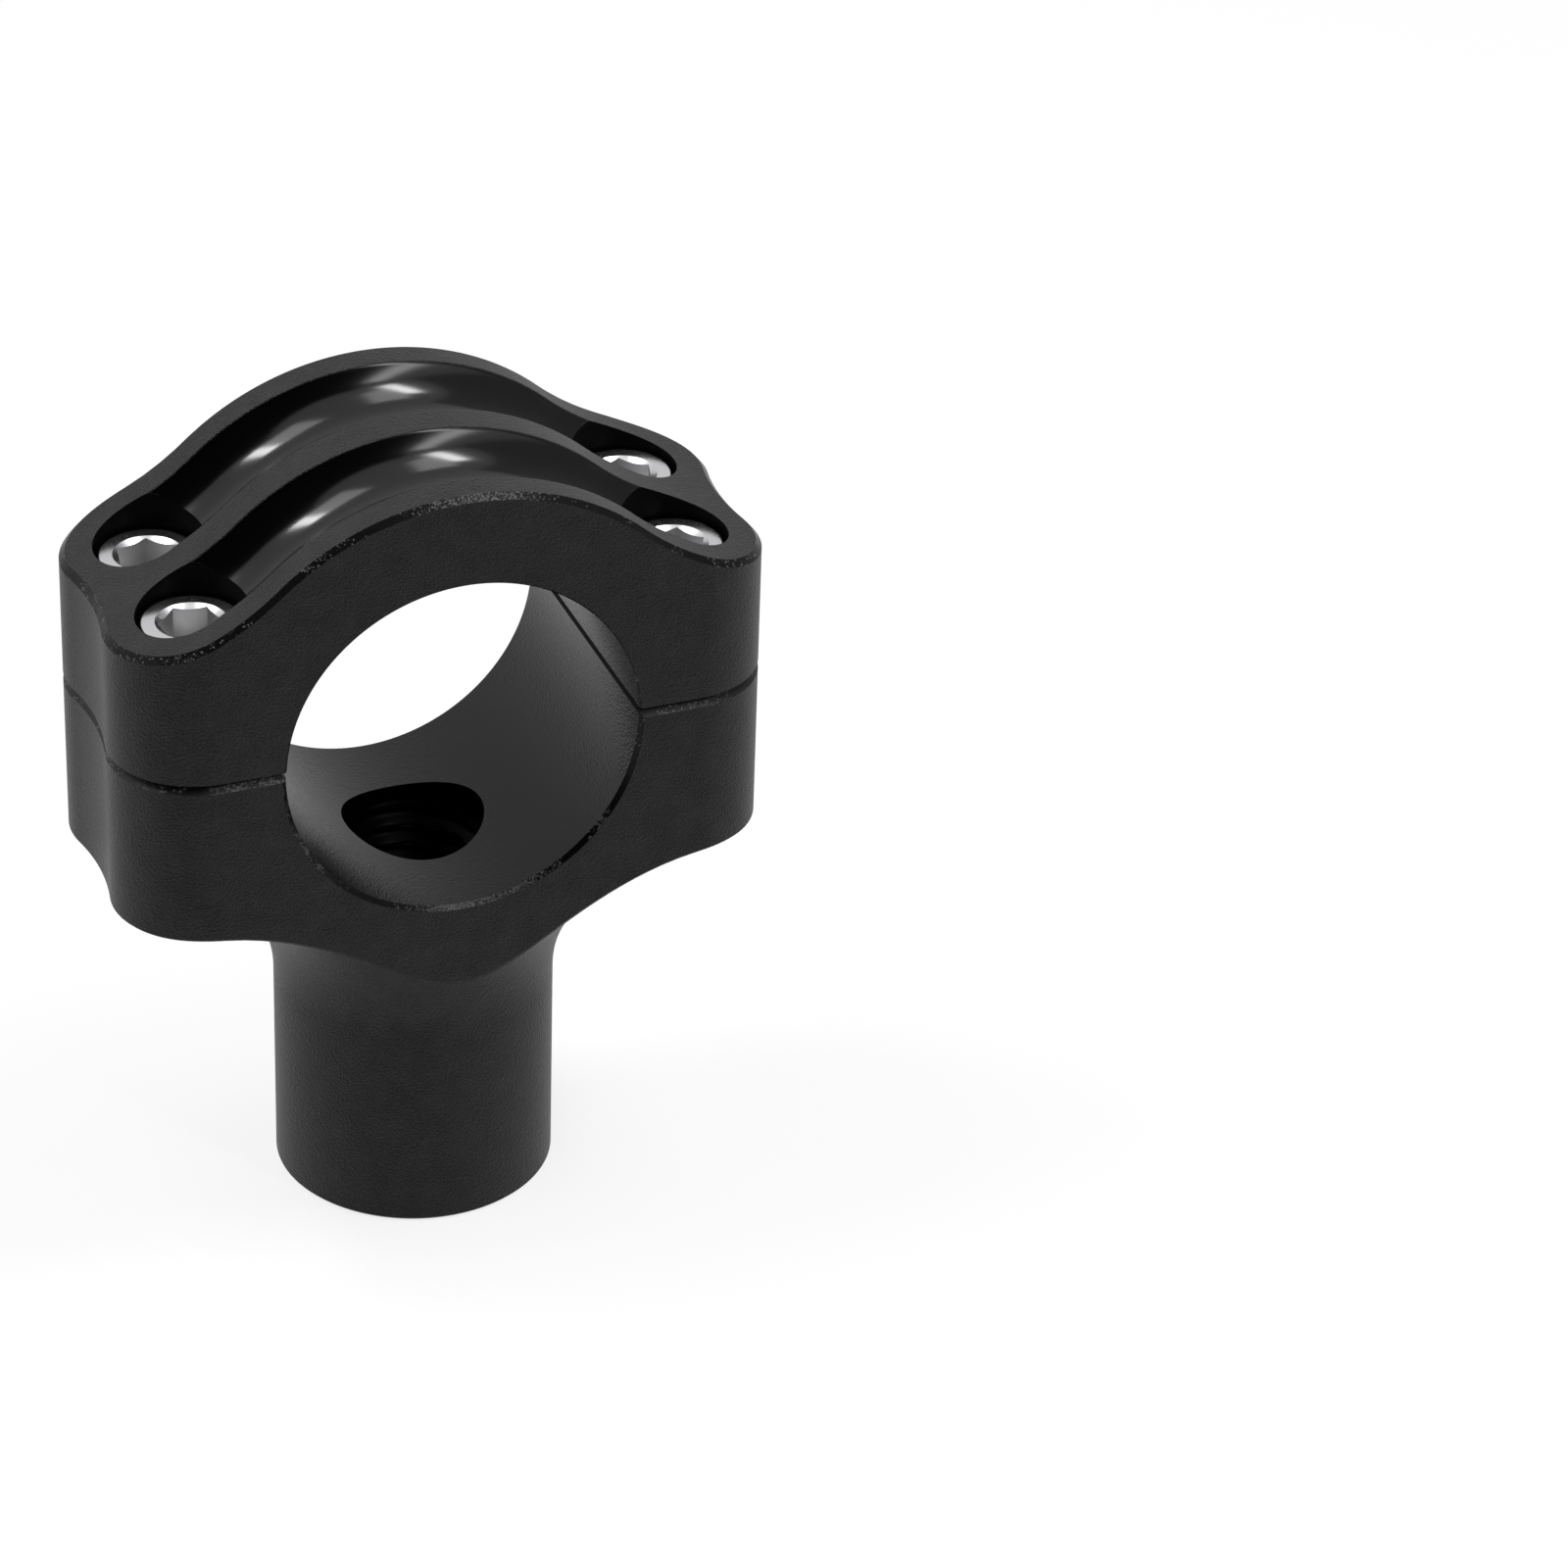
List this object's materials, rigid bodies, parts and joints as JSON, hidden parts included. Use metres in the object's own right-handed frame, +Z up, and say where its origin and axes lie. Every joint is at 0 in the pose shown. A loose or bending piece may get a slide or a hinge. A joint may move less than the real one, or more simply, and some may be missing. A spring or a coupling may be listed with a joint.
{
  "type": "motorcycle bar riser",
  "caption": "Motorcycle handlebar riser: round post flaring into a split bar clamp, its grooved cap held down by socket-head screws.",
  "frame": {"origin": "centre of the post's foot, on the surface that the riser is bolted down on", "axes": "+Z up along the post, Y along the handlebar through the clamp, X along the ears that carry the screws"},
  "size_m": [0.0584, 0.0282, 0.0745],
  "materials": {
    "black_anodised": "fine-blasted and anodised black",
    "bright_steel": "bright plated"
  },
  "bodies": {
    "root": {"riser_body": "black_anodised", "clamp_cap": "black_anodised", "cap_screw_front_left": "bright_steel", "cap_screw_front_right": "bright_steel", "cap_screw_back_left": "bright_steel", "cap_screw_back_right": "bright_steel"}
  },
  "joints": []
}
